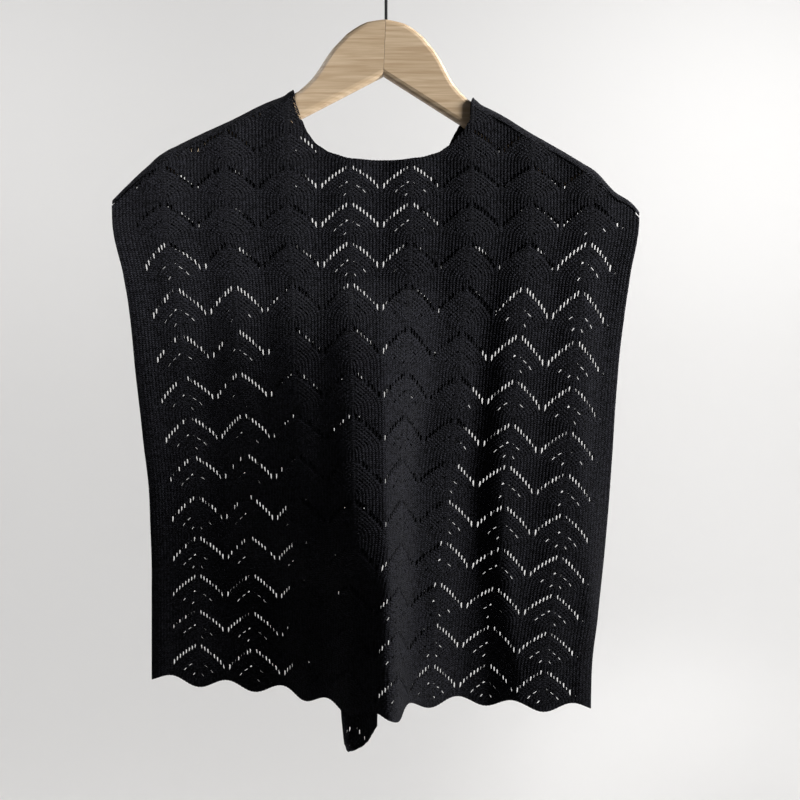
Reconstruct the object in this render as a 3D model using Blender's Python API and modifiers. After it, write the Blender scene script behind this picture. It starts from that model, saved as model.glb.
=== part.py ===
"""Knitted lace shawl-cape hanging on a wooden hanger. Metres, +Z up.

The origin is the inside top of the hook, where a rail carries the hanger. -Y is the garment's back, one
broad panel. +Y is its front: two pieces with a V neck between them, which taper into hanging scarf ends.
Cloth places are given in the knit's own units: a column is one lace repeat wide, counted from the centre
column and positive to the right, and a row is one lace repeat high, counted downwards.
"""

import math
from collections import namedtuple

import bmesh
import bpy
import numpy as np

MM = 0.001

# Cloth
WALL = 2.5
REPEAT_WIDTH = 58.7
SEAM_GAP = 0.3
SEAT_GAP = 0.6
CAP_ROLL = 4.6
HANG_DEPTH = 8.0
HEM_ROW = 12.34
HEM_SLANT = -0.012
HEM_SCALLOP = 0.22

# Hanger
WOOD_THICKNESS = 12.0
WOOD_ROUNDING = 5.4
HANGER_DROP = 80.0
HANGER_TILT = math.radians(2.5)
ARM_REACH = 222.0
ARM_END_LENGTH = 10.0

# Hook: its loop's angles are counted from the right, and the bend below it is a curve with two pulls
WIRE = 3.5
HOOK_INNER_RADIUS = 19.0
LOOP_FROM = -52
LOOP_TO = 201
LOOP_STEP = 11
BEND_HEIGHT = 16.0
BEND_PULL_UP = 12.0
BEND_PULL_BACK = 9.0
BEND_STEPS = 8
STEM_EASE = 6.0
STEM_IN_WOOD = 21.0
BORE_CLEARANCE = 0.3
BORE_DEPTH = 23.0
BORE_ABOVE_WOOD = 9.0
BORE_SIDES = 20

# How far below the origin each lace row lies on the centre column, how it tilts down to the right, and how
# many mm lower it lies at BOW_REACH either side
RowDrop = namedtuple("RowDrop", "row drop tilt bow")
ROW_DROPS = (
    RowDrop(-3.0, 138.0, 0.000, 0.0),
    RowDrop(-1.0, 210.0, 0.000, 0.0),
    RowDrop(1.0, 284.0, 0.000, 0.0),
    RowDrop(3.0, 367.0, 0.012, 2.0),
    RowDrop(4.0, 411.0, 0.023, 2.6),
    RowDrop(8.0, 574.0, 0.050, 3.0),
    RowDrop(10.0, 656.0, 0.053, 1.4),
    RowDrop(12.0, 735.0, 0.065, -0.8),
    RowDrop(14.4, 832.0, 0.070, -1.0),
)
BOW_REACH = 100.0

# The arm's outline is stepped more finely over the hump than beyond it
HUMP_STEP = 6.5
HUMP_REACH = 91.0
ARM_STEP = 16.0

# The hanger's top and underside on one side of its centre: distance out and drop from the hump's top
HangerEdge = namedtuple("HangerEdge", "out drop")
HANGER_TOP = (
    HangerEdge(0.0, 0.0),
    HangerEdge(15.0, 2.6),
    HangerEdge(30.0, 10.0),
    HangerEdge(45.0, 23.5),
    HangerEdge(57.0, 39.0),
    HangerEdge(67.0, 56.0),
    HangerEdge(76.0, 67.5),
    HangerEdge(89.0, 78.3),
    HangerEdge(116.0, 91.3),
    HangerEdge(146.0, 108.0),
    HangerEdge(185.0, 128.1),
    HangerEdge(ARM_REACH, 149.0),
)

HANGER_UNDERSIDE = (
    HangerEdge(0.0, 57.0),
    HangerEdge(90.0, 108.7),
    HangerEdge(ARM_REACH, 176.0),
)

# The cloth leaves the neck at this distance out along each arm, and its fold is followed in this many steps
FOLD_START = 86.0
FOLD_STEPS = 12
ARM_END_EASE = 8.0

# Past each arm's end the cloth caps the shoulder: places along its upper fold
CapPoint = namedtuple("CapPoint", "x drop")
LEFT_CAP = (CapPoint(-274.0, 261.0), CapPoint(-256.0, 243.0), CapPoint(-237.0, 225.5))
RIGHT_CAP = (CapPoint(229.0, 252.0), CapPoint(242.0, 260.0), CapPoint(254.0, 273.0))
LEFT_NECK = -93.0
RIGHT_NECK = 87.0
LEFT_NECK_COLUMN = -1.424
RIGHT_NECK_COLUMN = 1.546
NECK_TURN = 0.05
NECK_TURN_STEPS = (0.0, NECK_TURN / 3, NECK_TURN * 2 / 3, NECK_TURN)
ROLL_ANGLES = [math.radians(angle) for angle in (0, 22, 45, 68, 90)]

# The back's neckline between the two neck points
NeckPoint = namedtuple("NeckPoint", "x drop")
BACK_NECKLINE = (
    NeckPoint(LEFT_NECK, 153.0),
    NeckPoint(-89.0, 168.0),
    NeckPoint(-83.0, 183.0),
    NeckPoint(-76.0, 197.0),
    NeckPoint(-64.0, 209.0),
    NeckPoint(-50.0, 216.0),
    NeckPoint(-26.0, 221.0),
    NeckPoint(0.0, 222.0),
    NeckPoint(28.0, 220.0),
    NeckPoint(46.0, 216.0),
    NeckPoint(60.0, 209.0),
    NeckPoint(73.0, 197.0),
    NeckPoint(80.0, 188.0),
    NeckPoint(84.0, 176.0),
    NeckPoint(RIGHT_NECK, 163.4),
)

# Sections across the back: where its edges and its centre crease lie, and the ridge that the crease tops.
# flat_top and left_foot are cloth distances left of the crease, step and right_foot are right of it.
BackSection = namedtuple(
    "BackSection",
    "row left_edge crease right_edge ridge shift flat_top left_foot "
    "step step_share right_foot lobe lobe_from",
)
BACK_SECTIONS = (
    BackSection(-3.0, -274.0, -5.0, 254.0, 0.0, 0.0, 20.0, 150.0, 59.0, 0.05, 100.0, 0.0, 100.0),
    BackSection(0.7, -272.0, -5.0, 252.0, 0.0, 0.0, 20.0, 150.0, 59.0, 0.05, 100.0, 0.0, 100.0),
    BackSection(2.2, -260.0, -5.5, 242.0, 1.0, 0.0, 20.0, 165.0, 60.0, 0.08, 102.0, 2.0, 100.0),
    BackSection(3.0, -254.0, -5.0, 236.0, 17.0, 0.0, 25.0, 185.0, 60.0, 0.15, 106.0, 4.0, 100.0),
    BackSection(4.2, -249.0, -4.0, 230.0, 40.0, 0.0, 27.0, 205.0, 60.0, 0.20, 108.0, 6.0, 102.0),
    BackSection(6.0, -241.0, -2.0, 224.5, 51.0, 0.0, 30.0, 185.0, 55.0, 0.11, 103.0, 7.5, 106.0),
    BackSection(8.0, -234.0, -1.2, 218.0, 62.5, 0.0, 18.0, 195.0, 57.0, 0.16, 99.0, 9.0, 115.0),
    BackSection(10.0, -232.5, -0.5, 208.5, 64.5, 11.0, 0.0, 130.0, 57.0, 0.17, 115.0, 12.0, 122.0),
    BackSection(12.0, -232.5, 0.5, 201.0, 77.5, 13.2, 0.0, 128.0, 63.0, 0.22, 108.0, 15.0, 136.0),
    BackSection(13.0, -232.5, 1.0, 200.5, 80.0, 13.5, 0.0, 128.0, 64.0, 0.22, 108.0, 15.0, 138.0),
)
CREASE_ROUNDING = 0.045
FOOT_ROUNDING = 0.12
STEEPEST = 0.985
SECTION_STEPS = 1041

# Right of the ridge's foot the cloth stands forward in a broad lobe: even waves this far apart add up to it
LOBE_PITCH = 36.0
LOBE_WAVES = 3
EDGE_CURL = 4.0
EDGE_CURL_WIDTH = 16.0
EDGE_CURL_FROM_ROW = 1
EDGE_CURL_ROWS = 3
SHOULDER_EASE = 70.0

# The cut of each front: columns counted outwards from its centre edge. The neck edge runs from the centre to
# the shoulder, the end's edge across the foot of the hanging end, the diagonal out to the shoulder's tip.
CutPoint = namedtuple("CutPoint", "out row")
FrontSection = namedtuple("FrontSection", "row centre_x pitch lean")
FrontCut = namedtuple("FrontCut", "side neck end diagonal sections")
LEFT_FRONT = FrontCut(
    side=-1,
    neck=(
        CutPoint(0.0, 3.84),
        CutPoint(0.131, 3.22),
        CutPoint(0.357, 2.90),
        CutPoint(0.713, 2.52),
        CutPoint(1.134, 1.92),
        CutPoint(1.215, 0.76),
        CutPoint(1.312, -0.60),
        CutPoint(1.393, -1.56),
        CutPoint(1.474, -2.52),
    ),
    end=(
        CutPoint(0.0, 13.25),
        CutPoint(0.12, 13.58),
        CutPoint(0.25, 13.84),
        CutPoint(0.40, 14.02),
        CutPoint(0.55, 14.12),
        CutPoint(0.64, 13.95),
        CutPoint(0.70, 13.45),
        CutPoint(0.80, 12.85),
        CutPoint(1.95, 11.80),
    ),
    diagonal=(
        CutPoint(1.95, 3.30),
        CutPoint(2.10, 2.86),
        CutPoint(2.898, 1.99),
        CutPoint(3.626, 1.46),
        CutPoint(4.403, 0.80),
    ),
    sections=(
        FrontSection(-3.0, -2.0, 61.8, 0.0),
        FrontSection(2.4, -2.5, 60.5, 0.0),
        FrontSection(4.0, -3.0, 58.7, 10.0),
        FrontSection(6.0, -3.0, 58.7, 24.0),
        FrontSection(8.5, -3.0, 58.7, 52.0),
        FrontSection(10.5, -4.0, 58.7, 42.0),
        FrontSection(12.0, -6.0, 58.7, 38.0),
        FrontSection(14.0, -8.0, 58.7, 34.0),
    ),
)
RIGHT_FRONT = FrontCut(
    side=1,
    neck=(
        CutPoint(0.0, 3.80),
        CutPoint(0.04, 2.81),
        CutPoint(0.343, 1.53),
        CutPoint(0.612, 0.43),
        CutPoint(0.898, -0.49),
        CutPoint(1.234, -1.64),
        CutPoint(1.486, -2.29),
    ),
    end=(
        CutPoint(0.0, 11.90),
        CutPoint(0.29, 12.20),
        CutPoint(0.54, 12.35),
        CutPoint(0.84, 12.10),
        CutPoint(1.90, 11.30),
    ),
    diagonal=(
        CutPoint(1.90, 3.40),
        CutPoint(2.04, 2.80),
        CutPoint(2.78, 2.11),
        CutPoint(3.789, 0.98),
        CutPoint(4.243, 0.92),
    ),
    sections=(
        FrontSection(-3.0, -1.4, 59.5, 0.0),
        FrontSection(2.4, -1.0, 59.0, 0.0),
        FrontSection(4.3, 0.5, 58.7, 76.0),
        FrontSection(8.0, 1.0, 58.7, 82.0),
        FrontSection(14.0, 2.0, 58.7, 82.0),
    ),
)
FOLDS_IN_END = 2.0
END_WIDTH = 1.92 * REPEAT_WIDTH
FOLD_SQUARENESS = 1.6
FRONT_WIDEST = 4.6 * REPEAT_WIDTH
FRONT_STEPS = 461

# The columns at the back's two side edges
LEFT_EDGE = -4.353
RIGHT_EDGE = 4.303

# Eyelets big enough to cut: two beside each valley column, on each lace row
EYELET_FAR = 0.076
EYELET_NEAR = 0.019
EYELET_TOP = 0.01
EYELET_BOTTOM = 0.14
FIRST_EYELET_ROW = 1
LAST_EYELET_ROW = 12
OUTER_VALLEY = 4

# How far apart the grid's lines may lie where the cloth is plain
YOKE_ROW = -2.2
YOKE_SPACING = 0.65
COLUMN_SPACING = 0.25
FOLDED_SPACING = 0.125
SIDE_BORDER = 0.12
CREASE_COLUMNS = (0.16, 0.23, 0.30)
END_ROWS = (12.6, 13.0, 13.4, 13.8)


def smooth_interp(x, xs, ys):
    """A cubic curve through the points, which never swings past them."""
    xs = np.asarray(xs, float)
    ys = np.asarray(ys, float)
    step = np.diff(xs)
    rise = np.diff(ys) / step
    slope = np.zeros(len(xs))
    same = rise[:-1] * rise[1:] > 0
    both = rise[:-1] + rise[1:]
    slope[1:-1][same] = 2 * (rise[:-1] * rise[1:])[same] / both[same]
    slope[0] = rise[0]
    slope[-1] = rise[-1]
    x = np.clip(np.asarray(x, float), xs[0], xs[-1])
    i = np.clip(np.searchsorted(xs, x, side="right") - 1, 0, len(xs) - 2)
    t = (x - xs[i]) / step[i]
    start = ys[i] + t * step[i] * slope[i]
    end = ys[i + 1] - (1 - t) * step[i] * slope[i + 1]
    blend = t * t * (3 - 2 * t)
    return start * (1 - blend) + end * blend


def column_of(table, name):
    return [getattr(line, name) for line in table]


def soft_max(a, b, rounding):
    return (a + b + np.sqrt((a - b) ** 2 + rounding**2)) / 2


def soft_min(a, b, rounding):
    return -soft_max(-a, -b, rounding)


def row_drop(row):
    return smooth_interp(row, column_of(ROW_DROPS, "row"), column_of(ROW_DROPS, "drop"))


def row_sag(row, x):
    """How much lower a row lies at x than on the centre column."""
    rows = column_of(ROW_DROPS, "row")
    aside = x - BACK_SECTIONS[0].crease
    tilt = smooth_interp(row, rows, column_of(ROW_DROPS, "tilt"))
    bow = smooth_interp(row, rows, column_of(ROW_DROPS, "bow"))
    return tilt * aside + bow * (aside / BOW_REACH) ** 2


def row_at_drop(drop):
    """The lace row that lies this far down, found by going back along the same curve."""
    rows = np.linspace(ROW_DROPS[0].row, ROW_DROPS[-1].row, 3401)
    return np.interp(drop, row_drop(rows), rows)


def hanger_top_drop(out):
    return smooth_interp(out, column_of(HANGER_TOP, "out"), column_of(HANGER_TOP, "drop"))


def tilted(x, drop):
    """A place on the hanger, turned by its tilt about the hump's top: x and drop below the origin."""
    turned_x = x * math.cos(HANGER_TILT) - drop * math.sin(HANGER_TILT)
    turned_drop = x * math.sin(HANGER_TILT) + drop * math.cos(HANGER_TILT)
    return turned_x, turned_drop + HANGER_DROP


def shoulder_fold():
    """The line that the cloth's middle follows over both arms and the caps: x and drop, left to right."""
    lift = WALL / 2 + SEAT_GAP
    line = [(cap.x, cap.drop + WALL / 2) for cap in LEFT_CAP]
    along_arm = np.linspace(FOLD_START, ARM_REACH - ARM_END_EASE, FOLD_STEPS)
    for side in (-1, 1):
        for out in along_arm[::side]:
            slope = math.atan((hanger_top_drop(out + 1) - hanger_top_drop(out - 1)) / 2)
            out_lifted = out + lift * math.sin(slope)
            drop_lifted = hanger_top_drop(out) - lift * math.cos(slope)
            line.append(tilted(side * out_lifted, drop_lifted))
    line += [(cap.x, cap.drop + WALL / 2) for cap in RIGHT_CAP]
    return np.array(line)


FOLD_LINE = shoulder_fold()


def fold_drop(x):
    return smooth_interp(x, FOLD_LINE[:, 0], FOLD_LINE[:, 1])


def roll_radius(x):
    """The radius of the cloth's middle over the shoulder: round the wood, tighter on the caps."""
    on_arm = WOOD_THICKNESS / 2 + SEAT_GAP + WALL / 2
    left_end = tilted(-ARM_REACH, HANGER_TOP[-1].drop)[0] - ARM_END_EASE
    right_end = tilted(ARM_REACH, HANGER_TOP[-1].drop)[0] + ARM_END_EASE
    xs = (LEFT_CAP[0].x, left_end, right_end, RIGHT_CAP[-1].x)
    return np.interp(x, xs, (CAP_ROLL, on_arm, on_arm, CAP_ROLL))


def top_x(column):
    """Where a column lies at the shoulders."""
    top = BACK_SECTIONS[0]
    left_span = (top.crease - top.left_edge) / -LEFT_EDGE
    right_span = (top.right_edge - top.crease) / RIGHT_EDGE
    return top.crease + np.where(column < 0, column * left_span, column * right_span)


def roll_rows(x):
    """The rows that lie evenly round the shoulder's roll, from its fold to where the cloth hangs."""
    radius = float(roll_radius(x))
    return [float(row_at_drop(fold_drop(x) + radius * (1 - math.cos(angle)))) for angle in ROLL_ANGLES]


def turned_neck_row(x, inside):
    """Just inside a neck point the neck edge comes down round the roll: its row there."""
    angle = math.pi / 2 * min(inside / NECK_TURN, 1.0)
    return float(row_at_drop(fold_drop(x) + float(roll_radius(x)) * (1 - math.cos(angle))))


def back_top_row(column):
    """The row at which a column of the back begins: on the shoulder fold or the neckline."""
    x = float(top_x(column))
    inside = min(x - LEFT_NECK, RIGHT_NECK - x) / REPEAT_WIDTH
    if inside <= 0:
        return float(row_at_drop(fold_drop(x)))
    if inside <= NECK_TURN:
        return turned_neck_row(x, inside)
    drop = smooth_interp(x, column_of(BACK_NECKLINE, "x"), column_of(BACK_NECKLINE, "drop"))
    return float(row_at_drop(drop))


def back_hem_row(column):
    return HEM_ROW + HEM_SLANT * column + HEM_SCALLOP / 2 * (1 - math.cos(2 * math.pi * column))


def ridge_forward(d, row):
    """How far the back stands forward of its hanging plane, d mm of cloth right of the crease."""
    rows = column_of(BACK_SECTIONS, "row")
    names = BackSection._fields[4:]
    size = {name: smooth_interp(row, rows, column_of(BACK_SECTIONS, name)) for name in names}
    left = (d + size["left_foot"]) / (size["left_foot"] - size["flat_top"])
    left = soft_min(soft_max(left, 0.0, FOOT_ROUNDING), 1.0, FOOT_ROUNDING)
    steep = 1 - d * (1 - size["step_share"]) / size["step"]
    mild = size["step_share"] * (1 - (d - size["step"]) / (size["right_foot"] - size["step"]))
    right = soft_max(soft_max(steep, mild, FOOT_ROUNDING), 0.0, FOOT_ROUNDING)
    forward = size["ridge"] * soft_min(left, right, CREASE_ROUNDING)
    for wave in range(1, LOBE_WAVES + 1):
        across = np.clip((d - size["lobe_from"]) / LOBE_PITCH - wave, -1, 1)
        forward = forward + size["lobe"] * np.cos(across * math.pi / 2) ** 2
    return forward


def back_section(row):
    """One level section of the back as a table of cloth distance, x and forward, from edge to edge."""
    rows = column_of(BACK_SECTIONS, "row")
    shift = smooth_interp(row, rows, column_of(BACK_SECTIONS, "shift"))
    d = np.linspace(LEFT_EDGE * REPEAT_WIDTH, RIGHT_EDGE * REPEAT_WIDTH, SECTION_STEPS) - shift
    forward = ridge_forward(d, row)
    steepness = np.clip(np.gradient(forward, d), -STEEPEST, STEEPEST)
    sideways = np.sqrt(1 - steepness**2)
    across = np.concatenate([[0.0], np.cumsum((sideways[1:] + sideways[:-1]) / 2 * np.diff(d))])
    across -= np.interp(0.0, d, across)
    crease = smooth_interp(row, rows, column_of(BACK_SECTIONS, "crease"))
    left_width = crease - smooth_interp(row, rows, column_of(BACK_SECTIONS, "left_edge"))
    right_width = smooth_interp(row, rows, column_of(BACK_SECTIONS, "right_edge")) - crease
    scale = np.where(across < 0, left_width / -across[0], right_width / across[-1])
    x = crease + across * scale
    return d + shift, x, forward


def roll_over(x, drop):
    """How far a place on the shoulder lies from the hanger's middle plane, as a share of the full depth."""
    radius = roll_radius(x)
    below = np.clip((drop - fold_drop(x)) / radius, 0.0, 1.0)
    return radius, np.sqrt(1 - (1 - below) ** 2)


def hang_depth(x, drop):
    """The depth of the hanging plane: the roll's radius at the shoulder, easing to one depth below."""
    radius, share = roll_over(x, drop)
    ease = np.clip((drop - fold_drop(x)) / SHOULDER_EASE, 0.0, 1.0)
    ease = ease * ease * (3 - 2 * ease)
    return SEAM_GAP / 2 + (radius + (HANG_DEPTH - radius) * ease - SEAM_GAP / 2) * share


def back_point(column, row):
    cloth, xs, forwards = back_section(row)
    across = column * REPEAT_WIDTH
    x = float(np.interp(across, cloth, xs))
    forward = float(np.interp(across, cloth, forwards))
    drop = float(row_drop(row) + row_sag(row, x))
    inside = min(across - cloth[0], cloth[-1] - across)
    started = min(1.0, max(0.0, (row - EDGE_CURL_FROM_ROW) / EDGE_CURL_ROWS))
    curl = EDGE_CURL * started * max(0.0, 1 - inside / EDGE_CURL_WIDTH) ** 2
    return x, -(hang_depth(x, drop) + forward - curl), -drop


def front_section(cut, row):
    """One level section of a front as a table of cloth distance from its centre, x and fold depth."""
    rows = column_of(cut.sections, "row")
    centre_x, pitch, lean = [
        float(smooth_interp(row, rows, column_of(cut.sections, name))) for name in FrontSection._fields[1:]
    ]
    cloth = np.linspace(0.0, FRONT_WIDEST, FRONT_STEPS)
    wave = np.sin(2 * math.pi * FOLDS_IN_END * cloth / END_WIDTH)
    wave = np.tanh(FOLD_SQUARENESS * wave) / math.tanh(FOLD_SQUARENESS)
    calm = np.clip((END_WIDTH * 1.5 - cloth) / (END_WIDTH * 0.5), 0.0, 1.0)
    angle = math.radians(lean) * wave * calm
    middle = (angle[1:] + angle[:-1]) / 2
    step = np.diff(cloth)
    x = np.concatenate([[0.0], np.cumsum(np.cos(middle) * step)]) * pitch / REPEAT_WIDTH
    back = np.concatenate([[0.0], np.cumsum(np.sin(middle) * step)])
    return cloth, centre_x + cut.side * x, back


def front_point(cut, out, row):
    cloth, xs, backs = front_section(cut, row)
    x = float(np.interp(out * REPEAT_WIDTH, cloth, xs))
    back = float(np.interp(out * REPEAT_WIDTH, cloth, backs))
    drop = float(row_drop(row) + row_sag(row, x))
    return x, float(hang_depth(x, drop)) + back, -drop


def front_top_x(cut, out):
    """Where a column of a front lies at the shoulders."""
    top = cut.sections[0]
    return top.centre_x + cut.side * top.pitch * out


def front_top_row(cut, out):
    x = front_top_x(cut, out)
    inside = cut.neck[-1].out - out
    if inside <= 0:
        return float(row_at_drop(fold_drop(x)))
    if inside <= NECK_TURN:
        return turned_neck_row(x, inside)
    return float(smooth_interp(out, column_of(cut.neck, "out"), column_of(cut.neck, "row")))


def spread(stops, spacing):
    """The stops in order, with more places evenly between any two that lie too far apart."""
    stops = sorted(stops)
    places = [stops[0]]
    for start, stop in zip(stops, stops[1:]):
        count = max(1, math.ceil((stop - start) / spacing - 1e-6))
        places += [start + (stop - start) * i / count for i in range(1, count + 1)]
    return places


def lace_columns(first, last):
    """The columns that the eyelets' sides lie on, two each side of every valley."""
    offsets = (-EYELET_FAR, -EYELET_NEAR, EYELET_NEAR, EYELET_FAR)
    return [valley + offset for valley in range(first, last + 1) for offset in offsets]


def lace_rows():
    rows = []
    for row in range(FIRST_EYELET_ROW, LAST_EYELET_ROW + 1):
        rows += [row + EYELET_TOP, row + EYELET_BOTTOM]
    return rows


def is_eyelet(left, right, upper, lower):
    """Whether the cell between these columns and rows is an open eyelet."""
    row = round((upper + lower) / 2)
    if not FIRST_EYELET_ROW <= row <= LAST_EYELET_ROW:
        return False
    if abs(upper - (row + EYELET_TOP)) > 1e-6 or abs(lower - (row + EYELET_BOTTOM)) > 1e-6:
        return False
    middle = (left + right) / 2
    return EYELET_NEAR < abs(middle - round(middle)) < EYELET_FAR


def panel_surface(name, columns, levels, top_of, bottom_of, roll_of, point_of, open_from, open_to):
    """An open grid in columns and rows, clamped to the panel's outline, with its eyelets left out.

    bottom_of takes a column and the side of it that is being filled, because an outline can step there.
    """
    places = {}
    points = []

    def vertex(column, row):
        key = (round(column, 5), round(row, 5))
        if key not in places:
            places[key] = len(points)
            points.append([value * MM for value in point_of(column, row)])
        return places[key]

    def rows_at(column, side):
        top = top_of(column)
        rolled = [max(top, row) for row in roll_of(column)]
        bottom = bottom_of(column, side)
        return rolled + [min(max(level, rolled[-1]), bottom) for level in levels] + [bottom]

    faces = []
    for left, right in zip(columns, columns[1:]):
        rows_left = rows_at(left, 1)
        rows_right = rows_at(right, -1)
        for i in range(len(rows_left) - 1):
            upper, lower = rows_left[i], rows_left[i + 1]
            whole = upper == rows_right[i] and lower == rows_right[i + 1]
            if whole and open_from < left < open_to and is_eyelet(left, right, upper, lower):
                continue
            corners = [
                vertex(left, upper),
                vertex(left, lower),
                vertex(right, rows_right[i + 1]),
                vertex(right, rows_right[i]),
            ]
            corners = [corner for n, corner in enumerate(corners) if corner != corners[n - 1]]
            if len(corners) >= 3:
                faces.append(corners)
    mesh = bpy.data.meshes.new(name)
    mesh.from_pydata(points, [], faces)
    mesh.validate()
    return mesh


def cloth_object(name, mesh, material, collection):
    """The surface given its wall thickness, as one closed body."""
    cloth = add_object(name, mesh, material, collection)
    wall = cloth.modifiers.new("wall", "SOLIDIFY")
    wall.thickness = WALL * MM
    wall.offset = 0.0
    wall.use_even_offset = True
    wall.use_quality_normals = True
    return cloth


def back_panel(material, collection):
    stops = [LEFT_EDGE, LEFT_EDGE + SIDE_BORDER, *CREASE_COLUMNS, RIGHT_EDGE - SIDE_BORDER, RIGHT_EDGE]
    stops += [LEFT_NECK_COLUMN + turn for turn in NECK_TURN_STEPS]
    stops += [RIGHT_NECK_COLUMN - turn for turn in NECK_TURN_STEPS]
    columns = spread(stops + lace_columns(-OUTER_VALLEY, OUTER_VALLEY), COLUMN_SPACING)
    mesh = panel_surface(
        "back_panel",
        columns,
        plain_levels() + lace_rows()[1:],
        back_top_row,
        lambda column, side: back_hem_row(column),
        lambda column: roll_rows(float(top_x(column))),
        back_point,
        LEFT_EDGE,
        RIGHT_EDGE,
    )
    return cloth_object("back_panel", mesh, material, collection)


def plain_levels():
    """The level lines from the yoke down to the first eyelets."""
    return spread([YOKE_ROW, FIRST_EYELET_ROW + EYELET_TOP], YOKE_SPACING)


def front_panel(name, cut, material, collection):
    step = cut.end[-1].out
    tip = cut.diagonal[-1].out
    neck = cut.neck[-1].out
    inner = [0.0, step] + lace_columns(1, 1) + [neck - turn for turn in NECK_TURN_STEPS]
    inner += [point.out for point in cut.end if point.row > LAST_EYELET_ROW + 1]
    outer = [step, tip - SIDE_BORDER, tip]
    outer += [column for column in lace_columns(2, OUTER_VALLEY) if column > step + EYELET_NEAR]
    columns = spread(inner, FOLDED_SPACING) + spread(outer, COLUMN_SPACING)[1:]
    levels = sorted(plain_levels() + lace_rows()[1:] + [*END_ROWS, cut.diagonal[0].row])

    def bottom(out, side):
        line = cut.end if out < step or (out == step and side < 0) else cut.diagonal
        return float(smooth_interp(out, column_of(line, "out"), column_of(line, "row")))

    mesh = panel_surface(
        name,
        columns,
        levels,
        lambda out: front_top_row(cut, out),
        bottom,
        lambda out: roll_rows(front_top_x(cut, out)),
        lambda out, row: front_point(cut, out, row),
        cut.neck[0].out + 0.5,
        tip,
    )
    return cloth_object(name, mesh, material, collection)


def arm_profile(side):
    """The outline of one arm in the hanger's own plane: x and height above the hump's top."""
    end = ARM_REACH - ARM_END_LENGTH
    underside = [(edge.out, edge.drop) for edge in HANGER_UNDERSIDE]
    low = float(np.interp(end, *zip(*underside)))
    high = float(hanger_top_drop(end))
    slope = math.atan2(HANGER_TOP[-1].drop - HANGER_TOP[-2].drop, HANGER_TOP[-1].out - HANGER_TOP[-2].out)
    outline = [(SEAM_GAP / 2, 0.0)]
    for first, last, step in ((HUMP_STEP, HUMP_REACH, HUMP_STEP), (HUMP_REACH, end - ARM_STEP / 2, ARM_STEP)):
        outline += [(out, float(hanger_top_drop(out))) for out in np.arange(first, last, step)]
    for angle in range(-90, 91, 20):
        along = ARM_END_LENGTH * math.cos(math.radians(angle))
        across = (low - high) / 2 * math.sin(math.radians(angle))
        outline.append((end + along, (low + high) / 2 + across + along * math.tan(slope)))
    outline += [underside[1], (SEAM_GAP / 2, underside[0][1])]
    return [(side * x, -drop) for x, drop in outline]


def hanger_arm(name, side, material, collection, bore):
    """One arm sawn from a board, its long edges rounded over, half of the hook's bore cut in its end."""
    build = bmesh.new()
    corners = [build.verts.new((x * MM, -WOOD_THICKNESS / 2 * MM, z * MM)) for x, z in arm_profile(side)]
    near = build.faces.new(corners)
    grown = bmesh.ops.extrude_face_region(build, geom=[near])["geom"]
    far = [part for part in grown if isinstance(part, bmesh.types.BMVert)]
    bmesh.ops.translate(build, verts=far, vec=(0.0, WOOD_THICKNESS * MM, 0.0))
    bmesh.ops.recalc_face_normals(build, faces=build.faces)
    seam_x = SEAM_GAP / 2 * MM + 1e-7
    outline = [
        edge
        for edge in build.edges
        if abs(edge.verts[0].co.y - edge.verts[1].co.y) < 1e-6
        and not all(abs(vert.co.x) < seam_x for vert in edge.verts)
    ]
    bmesh.ops.bevel(
        build,
        geom=outline,
        offset=WOOD_ROUNDING * MM,
        segments=3,
        profile=0.5,
        affect="EDGES",
        clamp_overlap=True,
    )
    mesh = bpy.data.meshes.new(name)
    build.to_mesh(mesh)
    build.free()
    arm = add_object(name, mesh, material, collection)
    arm.location.z = -HANGER_DROP * MM
    arm.rotation_euler.y = HANGER_TILT
    cut = arm.modifiers.new("bore", "BOOLEAN")
    cut.operation = "DIFFERENCE"
    cut.solver = "EXACT"
    cut.object = bore
    return arm


def hook_bore(cutters):
    radius = WIRE / 2 + BORE_CLEARANCE
    bpy.ops.mesh.primitive_cylinder_add(
        vertices=BORE_SIDES,
        radius=radius * MM,
        depth=(BORE_DEPTH + BORE_ABOVE_WOOD) * MM,
        location=(0.0, 0.0, ((BORE_ABOVE_WOOD - BORE_DEPTH) / 2 - HANGER_DROP) * MM),
    )
    bore = bpy.context.object
    bore.name = "bore_cutter"
    bore.display_type = "WIRE"
    bore.hide_render = True
    move_to(bore, cutters)
    return bore


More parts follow.
